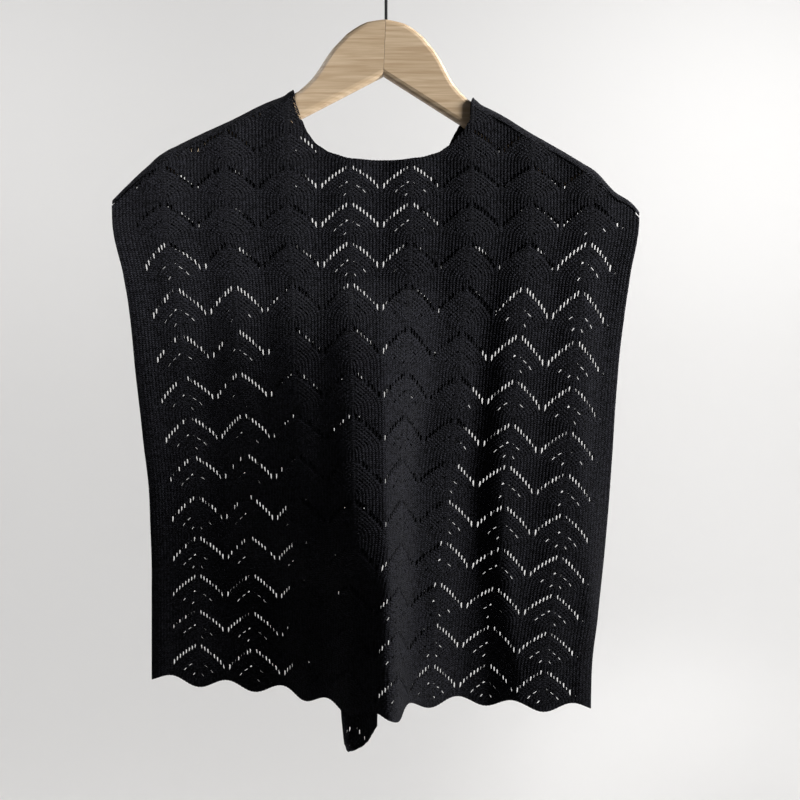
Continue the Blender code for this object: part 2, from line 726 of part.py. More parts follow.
def hanger_hook(material, collection):
    """A round wire: a straight stem out of the wood, a bend to the right and a loop open on the left."""
    radius = HOOK_INNER_RADIUS + WIRE / 2
    centre_z = -HOOK_INNER_RADIUS
    stem_top = centre_z - radius - BEND_HEIGHT
    start = math.radians(LOOP_FROM)
    line = [(0.0, -HANGER_DROP - STEM_IN_WOOD), (0.0, -HANGER_DROP), (0.0, stem_top - STEM_EASE)]
    loop_start = (radius * math.cos(start), centre_z + radius * math.sin(start))
    pull_up = (0.0, stem_top + BEND_PULL_UP)
    pull_back = (
        loop_start[0] + BEND_PULL_BACK * math.sin(start),
        loop_start[1] - BEND_PULL_BACK * math.cos(start),
    )
    ends = ((0.0, stem_top), pull_up, pull_back, loop_start)
    for i in range(BEND_STEPS + 1):
        t = i / BEND_STEPS
        weights = ((1 - t) ** 3, 3 * t * (1 - t) ** 2, 3 * t * t * (1 - t), t**3)
        line.append(tuple(sum(w * end[axis] for w, end in zip(weights, ends)) for axis in (0, 1)))
    for degrees in range(LOOP_FROM + LOOP_STEP, LOOP_TO, LOOP_STEP):
        turn = math.radians(degrees)
        line.append((radius * math.cos(turn), centre_z + radius * math.sin(turn)))
    curve = bpy.data.curves.new("hanger_hook", "CURVE")
    curve.dimensions = "3D"
    curve.bevel_depth = WIRE / 2 * MM
    curve.bevel_resolution = 2
    curve.use_fill_caps = True
    spline = curve.splines.new("POLY")
    spline.points.add(len(line) - 1)
    for point, (x, z) in zip(spline.points, line):
        point.co = (x * MM, 0.0, z * MM, 1.0)
    return add_object("hanger_hook", curve, material, collection)


def add_object(name, data, material, collection):
    thing = bpy.data.objects.new(name, data)
    data.materials.append(material)
    collection.objects.link(thing)
    if isinstance(data, bpy.types.Mesh):
        data.shade_smooth()
    return thing


def move_to(thing, collection):
    for other in list(thing.users_collection):
        other.objects.unlink(thing)
    collection.objects.link(thing)


def new_material(name, colour, roughness, metallic=0.0):
    material = bpy.data.materials.new(name)
    material.use_nodes = True
    surface = material.node_tree.nodes["Principled BSDF"]
    surface.inputs["Base Color"].default_value = (*colour, 1.0)
    surface.inputs["Roughness"].default_value = roughness
    surface.inputs["Metallic"].default_value = metallic
    material.diffuse_color = (*colour, 1.0)
    return material


def new_collection(name):
    collection = bpy.data.collections.new(name)
    bpy.context.scene.collection.children.link(collection)
    return collection


def main():
    for thing in list(bpy.data.objects):
        bpy.data.objects.remove(thing)
    parts = new_collection("knitted_shawl_on_hanger")
    cutters = new_collection("cutters")
    cutters.hide_render = True
    wool = (0.020, 0.020, 0.026)
    wood = (0.56, 0.42, 0.27)
    back_panel(new_material("back_wool", wool, 0.92), parts)
    front_panel("front_left", LEFT_FRONT, new_material("front_left_wool", wool, 0.92), parts)
    front_panel("front_right", RIGHT_FRONT, new_material("front_right_wool", wool, 0.92), parts)
    bore = hook_bore(cutters)
    hanger_arm("hanger_arm_left", -1, new_material("left_wood", wood, 0.5), parts, bore)
    hanger_arm("hanger_arm_right", 1, new_material("right_wood", wood, 0.5), parts, bore)
    hanger_hook(new_material("chrome", (0.75, 0.76, 0.78), 0.12, 1.0), parts)


main()
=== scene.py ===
"""Knitted lace shawl-cape hanging on a wooden hanger: how it looks.

Each cloth piece is knitted here stitch by stitch on the same form as its solid. Cloth places are given in
the knit's own units: a column is one lace repeat wide, a row one lace repeat high, counted downwards.
"""
import math
from collections import namedtuple
from functools import partial

import bpy
import numpy as np
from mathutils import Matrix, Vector


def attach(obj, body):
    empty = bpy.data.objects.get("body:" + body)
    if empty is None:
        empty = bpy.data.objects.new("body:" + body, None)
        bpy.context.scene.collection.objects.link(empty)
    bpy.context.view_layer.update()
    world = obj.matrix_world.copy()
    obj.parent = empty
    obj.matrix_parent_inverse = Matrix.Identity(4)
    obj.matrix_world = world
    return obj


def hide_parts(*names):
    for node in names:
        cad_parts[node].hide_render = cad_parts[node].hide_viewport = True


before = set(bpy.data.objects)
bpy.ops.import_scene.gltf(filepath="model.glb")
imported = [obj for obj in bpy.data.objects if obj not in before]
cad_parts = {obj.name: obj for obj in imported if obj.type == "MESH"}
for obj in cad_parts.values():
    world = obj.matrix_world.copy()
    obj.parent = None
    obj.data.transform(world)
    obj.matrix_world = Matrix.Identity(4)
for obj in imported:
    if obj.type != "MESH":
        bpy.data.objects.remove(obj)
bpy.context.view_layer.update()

MM = 0.001
TINY = 1e-12

# Cloth: sizes in mm, but the hem's in rows
WALL = 2.5
REPEAT_WIDTH = 58.7
ROW_HEIGHT = 40.4
SEAM_GAP = 0.3
SEAT_GAP = 0.6
CAP_ROLL = 4.6
HANG_DEPTH = 8.0
HEM_ROW = 12.34
HEM_SLANT = -0.012
HEM_SCALLOP = 0.22

# Hanger, as far as the cloth's place depends on it
WOOD_THICKNESS = 12.0
HANGER_DROP = 80.0
HANGER_TILT = math.radians(2.5)
ARM_REACH = 222.0

# How far below the origin each lace row lies on the centre column, how it tilts down to the right, and how
# many mm lower it lies at BOW_REACH either side
RowDrop = namedtuple("RowDrop", "row drop tilt bow")
ROW_DROPS = (
    RowDrop(-3.0, 138.0, 0.000, 0.0),
    RowDrop(-1.0, 210.0, 0.000, 0.0),
    RowDrop(1.0, 284.0, 0.000, 0.0),
    RowDrop(3.0, 367.0, 0.012, 2.0),
    RowDrop(4.0, 411.0, 0.023, 2.6),
    RowDrop(8.0, 574.0, 0.050, 3.0),
    RowDrop(10.0, 656.0, 0.053, 1.4),
    RowDrop(12.0, 735.0, 0.065, -0.8),
    RowDrop(14.4, 832.0, 0.070, -1.0),
)
BOW_REACH = 100.0

# The hanger's top and underside on one side of its centre: distance out and drop from the hump's top
HangerEdge = namedtuple("HangerEdge", "out drop")
HANGER_TOP = (
    HangerEdge(0.0, 0.0),
    HangerEdge(15.0, 2.6),
    HangerEdge(30.0, 10.0),
    HangerEdge(45.0, 23.5),
    HangerEdge(57.0, 39.0),
    HangerEdge(67.0, 56.0),
    HangerEdge(76.0, 67.5),
    HangerEdge(89.0, 78.3),
    HangerEdge(116.0, 91.3),
    HangerEdge(146.0, 108.0),
    HangerEdge(185.0, 128.1),
    HangerEdge(ARM_REACH, 149.0),
)

# The cloth leaves the neck at this distance out along each arm, and its fold is followed in this many steps
FOLD_START = 86.0
FOLD_STEPS = 12
ARM_END_EASE = 8.0

# Past each arm's end the cloth caps the shoulder: places along its upper fold
CapPoint = namedtuple("CapPoint", "x drop")
LEFT_CAP = (CapPoint(-274.0, 261.0), CapPoint(-256.0, 243.0), CapPoint(-237.0, 225.5))
RIGHT_CAP = (CapPoint(229.0, 252.0), CapPoint(242.0, 260.0), CapPoint(254.0, 273.0))

# The neck points, the share of a column in which the neck edge turns down round the shoulder's roll, and the
# angles round the roll at which the cloth has rows
LEFT_NECK = -93.0
RIGHT_NECK = 87.0
NECK_TURN = 0.05
ROLL_ANGLES = [math.radians(angle) for angle in (0, 22, 45, 68, 90)]

# The back's neckline between the two neck points
NeckPoint = namedtuple("NeckPoint", "x drop")
BACK_NECKLINE = (
    NeckPoint(LEFT_NECK, 153.0),
    NeckPoint(-89.0, 168.0),
    NeckPoint(-83.0, 183.0),
    NeckPoint(-76.0, 197.0),
    NeckPoint(-64.0, 209.0),
    NeckPoint(-50.0, 216.0),
    NeckPoint(-26.0, 221.0),
    NeckPoint(0.0, 222.0),
    NeckPoint(28.0, 220.0),
    NeckPoint(46.0, 216.0),
    NeckPoint(60.0, 209.0),
    NeckPoint(73.0, 197.0),
    NeckPoint(80.0, 188.0),
    NeckPoint(84.0, 176.0),
    NeckPoint(RIGHT_NECK, 163.4),
)

# Sections across the back: where its edges and its centre crease lie, and the ridge that the crease tops.
# flat_top and left_foot are cloth distances left of the crease, step and right_foot are right of it.
BackSection = namedtuple(
    "BackSection",
    "row left_edge crease right_edge ridge shift flat_top left_foot "
    "step step_share right_foot lobe lobe_from",
)
BACK_SECTIONS = (
    BackSection(-3.0, -274.0, -5.0, 254.0, 0.0, 0.0, 20.0, 150.0, 59.0, 0.05, 100.0, 0.0, 100.0),
    BackSection(0.7, -272.0, -5.0, 252.0, 0.0, 0.0, 20.0, 150.0, 59.0, 0.05, 100.0, 0.0, 100.0),
    BackSection(2.2, -260.0, -5.5, 242.0, 1.0, 0.0, 20.0, 165.0, 60.0, 0.08, 102.0, 2.0, 100.0),
    BackSection(3.0, -254.0, -5.0, 236.0, 17.0, 0.0, 25.0, 185.0, 60.0, 0.15, 106.0, 4.0, 100.0),
    BackSection(4.2, -249.0, -4.0, 230.0, 40.0, 0.0, 27.0, 205.0, 60.0, 0.20, 108.0, 6.0, 102.0),
    BackSection(6.0, -241.0, -2.0, 224.5, 51.0, 0.0, 30.0, 185.0, 55.0, 0.11, 103.0, 7.5, 106.0),
    BackSection(8.0, -234.0, -1.2, 218.0, 62.5, 0.0, 18.0, 195.0, 57.0, 0.16, 99.0, 9.0, 115.0),
    BackSection(10.0, -232.5, -0.5, 208.5, 64.5, 11.0, 0.0, 130.0, 57.0, 0.17, 115.0, 12.0, 122.0),
    BackSection(12.0, -232.5, 0.5, 201.0, 77.5, 13.2, 0.0, 128.0, 63.0, 0.22, 108.0, 15.0, 136.0),
    BackSection(13.0, -232.5, 1.0, 200.5, 80.0, 13.5, 0.0, 128.0, 64.0, 0.22, 108.0, 15.0, 138.0),
)
CREASE_ROUNDING = 0.045
FOOT_ROUNDING = 0.12
STEEPEST = 0.985

# Right of the ridge's foot the cloth stands forward in a broad lobe: even waves this far apart add up to it
LOBE_PITCH = 36.0
LOBE_WAVES = 3

# The side edges curl back a little below the yoke, and the shoulder eases into the hanging plane
EDGE_CURL = 4.0
EDGE_CURL_WIDTH = 16.0
EDGE_CURL_FROM_ROW = 1
EDGE_CURL_ROWS = 3
SHOULDER_EASE = 70.0

# The cut of each front: columns counted outwards from its centre edge. The neck edge runs from the centre to
# the shoulder, the end's edge across the foot of the hanging end, the diagonal out to the shoulder's tip.
CutPoint = namedtuple("CutPoint", "out row")
FrontSection = namedtuple("FrontSection", "row centre_x pitch lean")
FrontCut = namedtuple("FrontCut", "side neck end diagonal sections")
LEFT_FRONT = FrontCut(
    side=-1,
    neck=(
        CutPoint(0.0, 3.84),
        CutPoint(0.131, 3.22),
        CutPoint(0.357, 2.90),
        CutPoint(0.713, 2.52),
        CutPoint(1.134, 1.92),
        CutPoint(1.215, 0.76),
        CutPoint(1.312, -0.60),
        CutPoint(1.393, -1.56),
        CutPoint(1.474, -2.52),
    ),
    end=(
        CutPoint(0.0, 13.25),
        CutPoint(0.12, 13.58),
        CutPoint(0.25, 13.84),
        CutPoint(0.40, 14.02),
        CutPoint(0.55, 14.12),
        CutPoint(0.64, 13.95),
        CutPoint(0.70, 13.45),
        CutPoint(0.80, 12.85),
        CutPoint(1.95, 11.80),
    ),
    diagonal=(
        CutPoint(1.95, 3.30),
        CutPoint(2.10, 2.86),
        CutPoint(2.898, 1.99),
        CutPoint(3.626, 1.46),
        CutPoint(4.403, 0.80),
    ),
    sections=(
        FrontSection(-3.0, -2.0, 61.8, 0.0),
        FrontSection(2.4, -2.5, 60.5, 0.0),
        FrontSection(4.0, -3.0, 58.7, 10.0),
        FrontSection(6.0, -3.0, 58.7, 24.0),
        FrontSection(8.5, -3.0, 58.7, 52.0),
        FrontSection(10.5, -4.0, 58.7, 42.0),
        FrontSection(12.0, -6.0, 58.7, 38.0),
        FrontSection(14.0, -8.0, 58.7, 34.0),
    ),
)
RIGHT_FRONT = FrontCut(
    side=1,
    neck=(
        CutPoint(0.0, 3.80),
        CutPoint(0.04, 2.81),
        CutPoint(0.343, 1.53),
        CutPoint(0.612, 0.43),
        CutPoint(0.898, -0.49),
        CutPoint(1.234, -1.64),
        CutPoint(1.486, -2.29),
    ),
    end=(
        CutPoint(0.0, 11.90),
        CutPoint(0.29, 12.20),
        CutPoint(0.54, 12.35),
        CutPoint(0.84, 12.10),
        CutPoint(1.90, 11.30),
    ),
    diagonal=(
        CutPoint(1.90, 3.40),
        CutPoint(2.04, 2.80),
        CutPoint(2.78, 2.11),
        CutPoint(3.789, 0.98),
        CutPoint(4.243, 0.92),
    ),
    sections=(
        FrontSection(-3.0, -1.4, 59.5, 0.0),
        FrontSection(2.4, -1.0, 59.0, 0.0),
        FrontSection(4.3, 0.5, 58.7, 76.0),
        FrontSection(8.0, 1.0, 58.7, 82.0),
        FrontSection(14.0, 2.0, 58.7, 82.0),
    ),
)

# Lengthwise folds in each front's hanging end, which fade out beyond it over this share of its width
FOLDS_IN_END = 2.0
END_WIDTH = 1.92 * REPEAT_WIDTH
FOLD_SQUARENESS = 1.6
FOLD_FADE = 0.5
FRONT_WIDEST = 4.6 * REPEAT_WIDTH

# The back's side edges, in columns from its centre
LEFT_EDGE = -4.353
RIGHT_EDGE = 4.303

# Knitting: stitches across a repeat, courses down it, and the courses from its valley up to its last eyelets
NEEDLES = 18
COURSES = 11
SIDE_EYELETS = 8

# The first course's row, the course of a zigzag's valley, the lowest row that a panel reaches, and the
# valley on either side beyond which the wales run straight
FIRST_LINE_ROW = -2.92
PATTERN_SHIFT = 1
LAST_LINE_ROW = 14.4
OUTER_VALLEY = 4

# Each stitch is four strips wide, the outer two narrower than the inner two
STRAND_STEPS = 4
STRAND_PLACES = (0.0, 0.2, 0.5, 0.8)

# A share of the eyelets is narrow. Two lines of smaller ones lie under each zigzag, this many needles ahead
# of it, and a share of their places stays closed.
NARROW_SHARE = 0.35
SECOND_LINE = 3
SECOND_LINE_CLOSED = 0.25
THIRD_LINE = 6
THIRD_LINE_CLOSED = 0.5

# No eyelets lie within this much of a top edge, the hem or a side edge
TOP_BORDER_ROWS = 0.26
HEM_BORDER_ROWS = 0.12
BORDER_COLUMNS = 0.16

# Relief and ease of the knit
KNIT_WALL = 1.3
RIB_HEIGHT = 0.6
PEAK_PROUD = 1.0
COURSE_DIP = 0.22
RELAX_ROUNDS = 4
RELAX_SHARE = 0.5

# How finely forms are tabulated before places between are read from them
ROW_SEARCH_STEPS = 3401
SECTION_STEPS = 1041
FRONT_STEPS = 461
CHART_COLUMNS = 1401
CHART_ROW_STEP = 0.05
CHART_ROWS_BEYOND = 0.6
FRONT_CHART_WIDTH = 4.55

# Rows this close count as one, places closer than one step of the grid become one point
ROW_TOUCH = 1e-9
ROW_SAME = 1e-7
ON_FOLD = 1e-6
GRID_STEPS_PER_MM = 1e4
FACING_SAMPLES = 2000

# Mixers for each stitch's chance, a number that looks random
NEEDLE_MIXER = 12.9898
COURSE_MIXER = 78.233
CHANCE_SPREAD = 43758.5453

# The back is one cloth in three pieces: the rows where each starts and ends
BackBand = namedtuple("BackBand", "name start end")
BACK_BANDS = (
    BackBand("back_yoke", -9.0, 3.6),
    BackBand("back_middle", 3.6, 7.9),
    BackBand("back_lower", 7.9, 99.0),
)

# Backdrop, in metres
FLOOR_FRONT = -3.0
FLOOR_HEIGHT = -1.45
WALL_AT = 2.8
WALL_TOP = 3.2
COVE_RADIUS = 1.2
COVE_STEPS = 12
BACKDROP_HALF_WIDTH = 5.0


def smooth_interp(x, xs, ys):
    """A cubic curve through the points, which never swings past them."""
    xs = np.asarray(xs, float)
    ys = np.asarray(ys, float)
    step = np.diff(xs)
    rise = np.diff(ys) / step
    slope = np.zeros(len(xs))
    same = rise[:-1] * rise[1:] > 0
    both = rise[:-1] + rise[1:]
    slope[1:-1][same] = 2 * (rise[:-1] * rise[1:])[same] / both[same]
    slope[0] = rise[0]
    slope[-1] = rise[-1]
    x = np.clip(np.asarray(x, float), xs[0], xs[-1])
    i = np.clip(np.searchsorted(xs, x, side="right") - 1, 0, len(xs) - 2)
    t = (x - xs[i]) / step[i]
    start = ys[i] + t * step[i] * slope[i]
    end = ys[i + 1] - (1 - t) * step[i] * slope[i + 1]
    blend = t * t * (3 - 2 * t)
    return start * (1 - blend) + end * blend


def column_of(table, name):
    return [getattr(line, name) for line in table]


def read_table(table, name, at, by="row"):
    """A value of a table's lines, read smoothly between them."""
    return smooth_interp(at, column_of(table, by), column_of(table, name))


def soft_max(a, b, rounding):
    return (a + b + np.sqrt((a - b) ** 2 + rounding**2)) / 2


def soft_min(a, b, rounding):
    return -soft_max(-a, -b, rounding)


def row_drop(row):
    return read_table(ROW_DROPS, "drop", row)


def row_sag(row, x):
    """How much lower a row lies at x than on the centre column."""
    aside = x - BACK_SECTIONS[0].crease
    tilt = read_table(ROW_DROPS, "tilt", row)
    bow = read_table(ROW_DROPS, "bow", row)
    return tilt * aside + bow * (aside / BOW_REACH) ** 2


def row_at_drop(drop):
    """The lace row that lies this far down, found by going back along the same curve."""
    rows = np.linspace(ROW_DROPS[0].row, ROW_DROPS[-1].row, ROW_SEARCH_STEPS)
    return np.interp(drop, row_drop(rows), rows)


def hanger_top_drop(out):
    return read_table(HANGER_TOP, "drop", out, by="out")


def tilted(x, drop):
    """A place on the hanger, turned by its tilt about the hump's top: x and drop below the origin."""
    turned_x = x * math.cos(HANGER_TILT) - drop * math.sin(HANGER_TILT)
    turned_drop = x * math.sin(HANGER_TILT) + drop * math.cos(HANGER_TILT)
    return turned_x, turned_drop + HANGER_DROP


def shoulder_fold():
    """The line that the cloth's middle follows over both arms and the caps: x and drop, left to right."""
    lift = WALL / 2 + SEAT_GAP
    line = [(cap.x, cap.drop + WALL / 2) for cap in LEFT_CAP]
    along_arm = np.linspace(FOLD_START, ARM_REACH - ARM_END_EASE, FOLD_STEPS)
    for side in (-1, 1):
        for out in along_arm[::side]:
            slope = math.atan((hanger_top_drop(out + 1) - hanger_top_drop(out - 1)) / 2)
            out_lifted = out + lift * math.sin(slope)
            drop_lifted = hanger_top_drop(out) - lift * math.cos(slope)
            line.append(tilted(side * out_lifted, drop_lifted))
    line += [(cap.x, cap.drop + WALL / 2) for cap in RIGHT_CAP]
    return np.array(line)


FOLD_LINE = shoulder_fold()


def fold_drop(x):
    return smooth_interp(x, FOLD_LINE[:, 0], FOLD_LINE[:, 1])


def roll_radius(x):
    """The radius of the cloth's middle over the shoulder: round the wood, tighter on the caps."""
    on_arm = WOOD_THICKNESS / 2 + SEAT_GAP + WALL / 2
    left_end = tilted(-ARM_REACH, HANGER_TOP[-1].drop)[0] - ARM_END_EASE
    right_end = tilted(ARM_REACH, HANGER_TOP[-1].drop)[0] + ARM_END_EASE
    xs = (LEFT_CAP[0].x, left_end, right_end, RIGHT_CAP[-1].x)
    return np.interp(x, xs, (CAP_ROLL, on_arm, on_arm, CAP_ROLL))


def top_x(column):
    """Where a column lies at the shoulders."""
    top = BACK_SECTIONS[0]
    left_span = (top.crease - top.left_edge) / -LEFT_EDGE
    right_span = (top.right_edge - top.crease) / RIGHT_EDGE
    return top.crease + np.where(column < 0, column * left_span, column * right_span)


def ridge_forward(d, row):
    """How far the back stands forward of its hanging plane, d mm of cloth right of the crease."""
    size = {name: read_table(BACK_SECTIONS, name, row) for name in BackSection._fields[4:]}
    left = (d + size["left_foot"]) / (size["left_foot"] - size["flat_top"])
    left = soft_min(soft_max(left, 0.0, FOOT_ROUNDING), 1.0, FOOT_ROUNDING)
    steep = 1 - d * (1 - size["step_share"]) / size["step"]
    mild = size["step_share"] * (1 - (d - size["step"]) / (size["right_foot"] - size["step"]))
    right = soft_max(soft_max(steep, mild, FOOT_ROUNDING), 0.0, FOOT_ROUNDING)
    forward = size["ridge"] * soft_min(left, right, CREASE_ROUNDING)
    for wave in range(1, LOBE_WAVES + 1):
        across = np.clip((d - size["lobe_from"]) / LOBE_PITCH - wave, -1, 1)
        forward = forward + size["lobe"] * np.cos(across * math.pi / 2) ** 2
    return forward


def back_section(row):
    """One level section of the back as a table of cloth distance, x and forward, from edge to edge."""
    shift = read_table(BACK_SECTIONS, "shift", row)
    d = np.linspace(LEFT_EDGE * REPEAT_WIDTH, RIGHT_EDGE * REPEAT_WIDTH, SECTION_STEPS) - shift
    forward = ridge_forward(d, row)
    steepness = np.clip(np.gradient(forward, d), -STEEPEST, STEEPEST)
    sideways = np.sqrt(1 - steepness**2)
    across = np.concatenate([[0.0], np.cumsum((sideways[1:] + sideways[:-1]) / 2 * np.diff(d))])
    across -= np.interp(0.0, d, across)
    crease = read_table(BACK_SECTIONS, "crease", row)
    left_span = crease - read_table(BACK_SECTIONS, "left_edge", row)
    right_span = read_table(BACK_SECTIONS, "right_edge", row) - crease
    x = crease + np.where(across < 0, across * left_span / -across[0], across * right_span / across[-1])
    return d + shift, x, forward


def roll_over(x, drop):
    """The roll's radius at x, and the share of it that the cloth stands off the hanger's middle plane."""
    radius = roll_radius(x)
    below = np.clip((drop - fold_drop(x)) / radius, 0.0, 1.0)
    return radius, np.sqrt(1 - (1 - below) ** 2)


def hang_depth(x, drop):
    """The depth of the hanging plane: the roll's radius at the shoulder, easing to one depth below."""
    radius, share = roll_over(x, drop)
    ease = np.clip((drop - fold_drop(x)) / SHOULDER_EASE, 0.0, 1.0)
    ease = ease * ease * (3 - 2 * ease)
    return SEAM_GAP / 2 + (radius + (HANG_DEPTH - radius) * ease - SEAM_GAP / 2) * share


def front_section(cut, row):
    """One level section of a front as a table of cloth distance from its centre, x and fold depth."""
    values = [float(read_table(cut.sections, name, row)) for name in FrontSection._fields[1:]]
    centre_x, pitch, lean = values
    cloth = np.linspace(0.0, FRONT_WIDEST, FRONT_STEPS)
    wave = np.sin(2 * math.pi * FOLDS_IN_END * cloth / END_WIDTH)
    wave = np.tanh(FOLD_SQUARENESS * wave) / math.tanh(FOLD_SQUARENESS)
    calm = np.clip((END_WIDTH * (1 + FOLD_FADE) - cloth) / (END_WIDTH * FOLD_FADE), 0.0, 1.0)
    angle = math.radians(lean) * wave * calm
    middle = (angle[1:] + angle[:-1]) / 2
    step = np.diff(cloth)
    x = np.concatenate([[0.0], np.cumsum(np.cos(middle) * step)]) * pitch / REPEAT_WIDTH
    back = np.concatenate([[0.0], np.cumsum(np.sin(middle) * step)])
    return cloth, centre_x + cut.side * x, back


Chart = namedtuple("Chart", "columns rows xs forwards")


def make_chart(section_of, columns_to):
    """A panel's sections at close rows, as one grid that places between are read from."""
    rows = np.arange(FIRST_LINE_ROW, LAST_LINE_ROW + CHART_ROWS_BEYOND, CHART_ROW_STEP)
    columns = np.linspace(*columns_to, CHART_COLUMNS)
    xs = np.empty((len(rows), len(columns)))
    forwards = np.empty_like(xs)
    for i, row in enumerate(rows):
        cloth, x, forward = section_of(row)
        xs[i] = np.interp(columns * REPEAT_WIDTH, cloth, x)
        forwards[i] = np.interp(columns * REPEAT_WIDTH, cloth, forward)
    return Chart(columns, rows, xs, forwards)


def chart_step(places, at):
    """Which step of the chart's even places this lies in, and how far along it."""
    steps = np.clip((at - places[0]) / (places[1] - places[0]), 0, len(places) - 1.001)
    whole = steps.astype(int)
    return whole, steps - whole


def read_chart(chart, column, row):
    i, s = chart_step(chart.columns, column)
    j, t = chart_step(chart.rows, row)
    found = []
    for grid in (chart.xs, chart.forwards):
        upper = grid[j, i] * (1 - s) + grid[j, i + 1] * s
        lower = grid[j + 1, i] * (1 - s) + grid[j + 1, i + 1] * s
        found.append(upper * (1 - t) + lower * t)
    return found


BACK_CHART = make_chart(back_section, (LEFT_EDGE, RIGHT_EDGE))
FRONT_CHARTS = {
    cut.side: make_chart(partial(front_section, cut), (0.0, FRONT_CHART_WIDTH))
    for cut in (LEFT_FRONT, RIGHT_FRONT)
}


def back_place(column, row):
    x, forward = read_chart(BACK_CHART, column, row)
    drop = row_drop(row) + row_sag(row, x)
    inside = np.minimum(column - LEFT_EDGE, RIGHT_EDGE - column) * REPEAT_WIDTH
    started = np.clip((row - EDGE_CURL_FROM_ROW) / EDGE_CURL_ROWS, 0, 1)
    curl = EDGE_CURL * started * np.clip(1 - inside / EDGE_CURL_WIDTH, 0, 1) ** 2
    return np.stack([x, -(hang_depth(x, drop) + forward - curl), -drop], axis=-1)


def front_place(cut, column, row):
    x, back = read_chart(FRONT_CHARTS[cut.side], column, row)
    drop = row_drop(row) + row_sag(row, x)
    return np.stack([x, hang_depth(x, drop) + back, -drop], axis=-1)


def roll_row(x, angle):
    """The row that lies this far round the shoulder's roll from its fold."""
    return row_at_drop(fold_drop(x) + roll_radius(x) * (1 - math.cos(angle)))


def top_row(x, inside, neck):
    """Where cloth begins: on the shoulder's fold, round its roll just inside the neck, then on the neck."""
    angle = math.pi / 2 * np.clip(inside / NECK_TURN, 0, 1)
    turned = row_at_drop(fold_drop(x) + roll_radius(x) * (1 - np.cos(angle)))
    return np.where(inside <= NECK_TURN, turned, np.maximum(neck, turned))


def back_top(column):
    x = top_x(column)
    inside = np.minimum(x - LEFT_NECK, RIGHT_NECK - x) / REPEAT_WIDTH
    neck = row_at_drop(read_table(BACK_NECKLINE, "drop", x, by="x"))
    return top_row(x, inside, neck), x


def back_bottom(column):
    return HEM_ROW + HEM_SLANT * column + HEM_SCALLOP / 2 * (1 - np.cos(2 * math.pi * column))


def front_top(cut, out):
    top = cut.sections[0]
    x = top.centre_x + cut.side * top.pitch * out
    neck = read_table(cut.neck, "row", out, by="out")
    return top_row(x, cut.neck[-1].out - out, neck), x


def front_bottom(cut, out):
    end = read_table(cut.end, "row", out, by="out")
    diagonal = read_table(cut.diagonal, "row", out, by="out")
    return np.where(out <= cut.end[-1].out, end, diagonal)


def course_row(course, column):
    """Where a course lies: evenly down the cloth, and lower towards the peak columns, which pull it down."""
    from_valley = np.abs(column - np.round(column))
    return FIRST_LINE_ROW + course / COURSES + COURSE_DIP * (2 * from_valley) ** 2


def strand_links(needle_from, strands, step):
    """For each strip of a course: the strand lines that its two sides run into on the course above.

    Between an eyelet and its peak every wale moves one needle towards the peak, where three become one.
    """
    start = np.arange(strands - 1)
    place = (start + needle_from * STRAND_STEPS) % (NEEDLES * STRAND_STEPS)
    opened = step * STRAND_STEPS
    half = NEEDLES * STRAND_STEPS // 2
    merging = (place >= half - STRAND_STEPS) & (place < half + 2 * STRAND_STEPS)
    rising = (place >= opened) & (place < half - STRAND_STEPS)
    falling = (place >= half + 2 * STRAND_STEPS) & (place < 2 * half + STRAND_STEPS - opened)
    left_move = np.where(rising, STRAND_STEPS, np.where(falling, -STRAND_STEPS, 0))
    right_move = left_move.copy()
    from_merge = place - (half - STRAND_STEPS)
    left_move[merging] = (half + np.round(from_merge / 3.0).astype(int) - place)[merging]
    right_move[merging] = (half + np.round((from_merge + 1) / 3.0).astype(int) - place - 1)[merging]
    return start + left_move, start + 1 + right_move


def uneven(needle_number, course):
    """A number from 0 to 1 for each stitch, the same on every run."""
    mixed = np.sin(needle_number * NEEDLE_MIXER + course * COURSE_MIXER) * CHANCE_SPREAD
    return mixed - np.floor(mixed)


def eyelet_cells(needle, local, step, chance):
    """The strips that stay open in this course of the zigzag, besides the gaps that moved wales leave."""
    before = step - 1
    middle = (local == 1) | ((local == 2) & (chance > NARROW_SHARE))
    open_cells = np.zeros(len(needle), bool)
    if 1 <= before <= SIDE_EYELETS:
        open_cells |= ((needle == before) | (needle == NEEDLES - before)) & middle
    if 1 <= step and step + SECOND_LINE <= SIDE_EYELETS:
        ahead = (needle == step + SECOND_LINE) | (needle == NEEDLES - step - SECOND_LINE)
        open_cells |= ahead & (local == 1) & (step % 2 == 1) & (chance > SECOND_LINE_CLOSED)
    if step == 1:
        ahead = (needle == step + THIRD_LINE) | (needle == NEEDLES - step - THIRD_LINE)
        open_cells |= ahead & (local == 1) & (chance > THIRD_LINE_CLOSED)
    return open_cells


# A panel that is being knitted, with what each of its strips needs to know: the strand line on its left, its
# place in its stitch, its stitch's needle, and whether it lies in a side border or beyond the outer valleys
Panel = namedtuple("Panel", "columns needle_from top bottom start local needle in_border beyond step_column")


def make_panel(columns, needle_from, top, bottom, step_column):
    start = np.arange(len(columns) - 1)
    from_side = np.minimum(columns - columns[0], columns[-1] - columns)[:-1]
    return Panel(
        columns=columns,
        needle_from=needle_from,
        top=top,
        bottom=bottom,
        start=start,
        local=start % STRAND_STEPS,
        needle=(start // STRAND_STEPS + needle_from) % NEEDLES,
        in_border=from_side < BORDER_COLUMNS,
        beyond=np.abs(columns[:-1]) > OUTER_VALLEY + 0.5 / NEEDLES,
        step_column=step_column,
    )


